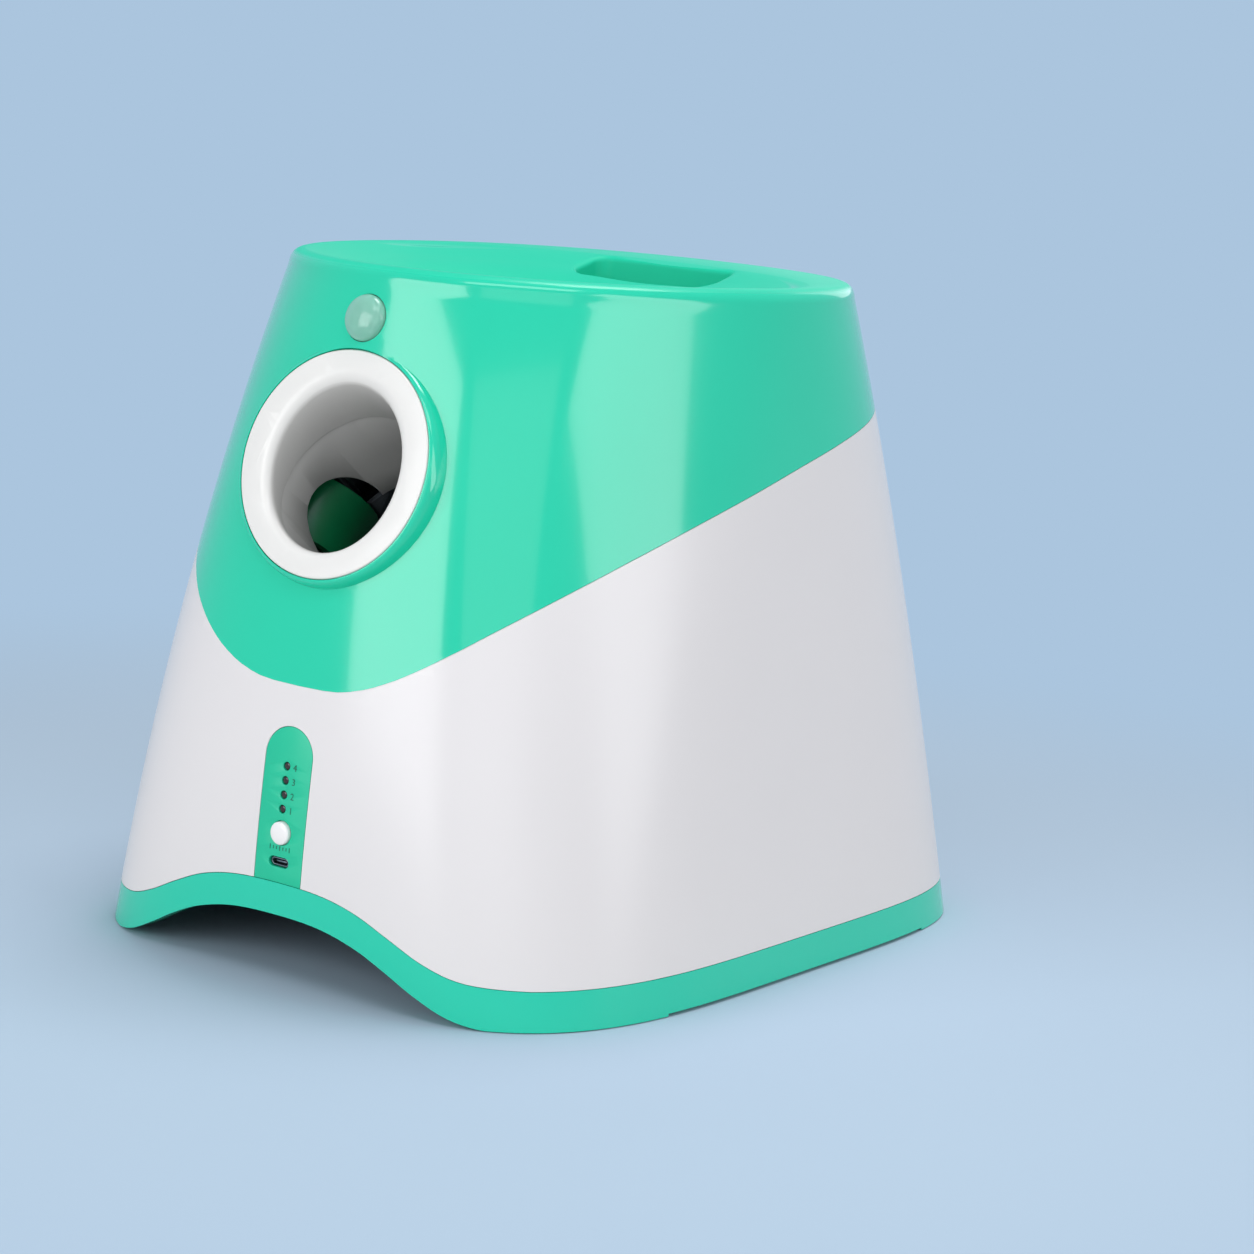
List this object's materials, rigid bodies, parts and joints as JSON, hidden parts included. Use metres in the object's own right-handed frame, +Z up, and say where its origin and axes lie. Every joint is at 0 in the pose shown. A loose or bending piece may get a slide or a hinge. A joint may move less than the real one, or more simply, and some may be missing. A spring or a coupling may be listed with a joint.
{
  "type": "automatic dog ball launcher",
  "caption": "Free-standing ball launcher for dogs: a bowl feeds balls to twin flywheels that throw them from a front nozzle, in a tapered two-piece gloss case on an arched base.",
  "frame": {"origin": "centre of the footprint, on the floor under the rubber feet", "axes": "+Z up, the nozzle and the control strip face -Y, +X is to the right of a person who looks along +Y at the nozzle"},
  "size_m": [0.2962, 0.3845, 0.31],
  "materials": {
    "cover_green": "high gloss moulded ABS",
    "shell_white": "high gloss moulded ABS",
    "rim_green": "gloss moulded ABS",
    "plate_black": "lightly textured ABS",
    "nozzle_white": "gloss moulded ABS",
    "barrel_white": "satin moulded ABS",
    "chute_grey": "satin moulded ABS",
    "tyre_green": "soft polyurethane tread",
    "hub_white": "glass filled nylon",
    "shaft_steel": "ground steel",
    "motor_steel": "zinc plated steel can",
    "sheet_steel": "zinc plated sheet",
    "screw_steel": "zinc plated screw",
    "gate_amber": "acetal",
    "servo_blue": "translucent blue case",
    "switch_black": "moulded switch case",
    "lens_milky": "milky polyethylene lens",
    "holder_black": "moulded holder",
    "board_green": "glass epoxy board with its components",
    "strip_green": "satin moulded ABS with printing",
    "button_white": "gloss moulded cap",
    "led_dark": "smoked indicator window",
    "port_steel": "drawn steel shell",
    "battery_blue": "shrink wrap",
    "speaker_black": "speaker frame and cone",
    "foot_rubber": "rubber pad"
  },
  "bodies": {
    "case": {"top_cover": "cover_green", "body_shell": "shell_white", "base_rim": "rim_green", "base_plate": "plate_black", "nozzle_ring": "nozzle_white", "launch_barrel": "barrel_white", "ball_chute": "chute_grey", "left_motor": "motor_steel", "right_motor": "motor_steel", "left_motor_plate": "sheet_steel", "right_motor_plate": "sheet_steel", "launcher_stand": "sheet_steel", "gate_servo": "servo_blue", "ball_switch": "switch_black", "sensor_lens": "lens_milky", "sensor_holder": "holder_black", "sensor_board": "board_green", "control_strip": "strip_green", "led_window_1": "led_dark", "led_window_2": "led_dark", "led_window_3": "led_dark", "led_window_4": "led_dark", "control_board": "board_green", "charging_port": "port_steel", "main_board": "board_green", "battery_pack": "battery_blue", "speaker": "speaker_black", "rubber_foot_right_front": "foot_rubber", "rubber_foot_left_front": "foot_rubber", "rubber_foot_right_rear": "foot_rubber", "rubber_foot_left_rear": "foot_rubber", "case_screw_front_right": "screw_steel", "case_screw_front_left": "screw_steel", "case_screw_rear_right": "screw_steel", "case_screw_rear_left": "screw_steel", "left_plate_screw_1": "screw_steel", "left_plate_screw_2": "screw_steel", "right_plate_screw_1": "screw_steel", "right_plate_screw_2": "screw_steel", "chute_screw_left": "screw_steel", "chute_screw_right": "screw_steel", "stand_screw_1": "screw_steel", "stand_screw_2": "screw_steel", "servo_screw_1": "screw_steel", "servo_screw_2": "screw_steel"},
    "left_flywheel": {"left_flywheel_tyre": "tyre_green", "left_flywheel_hub": "hub_white", "left_motor_shaft": "shaft_steel"},
    "right_flywheel": {"right_flywheel_tyre": "tyre_green", "right_flywheel_hub": "hub_white", "right_motor_shaft": "shaft_steel"},
    "mode_button": {"mode_button": "button_white"},
    "feed_gate": {"feed_gate": "gate_amber"},
    "ball_switch_lever": {"ball_switch_lever": "shaft_steel"}
  },
  "joints": [
    {"name": "left_flywheel_spin", "type": "hinge", "parent": "case", "child": "left_flywheel", "pos_m": [-0.056, -0.11823, 0.18724], "axis": [0, 0.5878, 0.809], "continuous": true},
    {"name": "right_flywheel_spin", "type": "hinge", "parent": "case", "child": "right_flywheel", "pos_m": [0.056, -0.11823, 0.18724], "axis": [0, 0.5878, 0.809], "continuous": true},
    {"name": "mode_button_press", "type": "slide", "parent": "case", "child": "mode_button", "axis": [0, 1, 0], "range_m": [0, 0.0012], "stiffness_N_per_m": 600, "springref_m": -0.001},
    {"name": "feed_gate_swing", "type": "hinge", "parent": "case", "child": "feed_gate", "pos_m": [0.03, -0.0165, 0.2215], "axis": [0, 0, -1], "range_deg": [0, 70]},
    {"name": "ball_switch_lever_press", "type": "hinge", "parent": "case", "child": "ball_switch_lever", "pos_m": [-0.044, -0.0176, 0.2055], "axis": [0, 0, 1], "range_deg": [0, 9.5], "stiffness_Nm_per_rad": 0.03, "springref_deg": -5.73}
  ],
  "couplings": [
    {"joint": "right_flywheel_spin", "follows": "left_flywheel_spin", "ratio": -1}
  ]
}
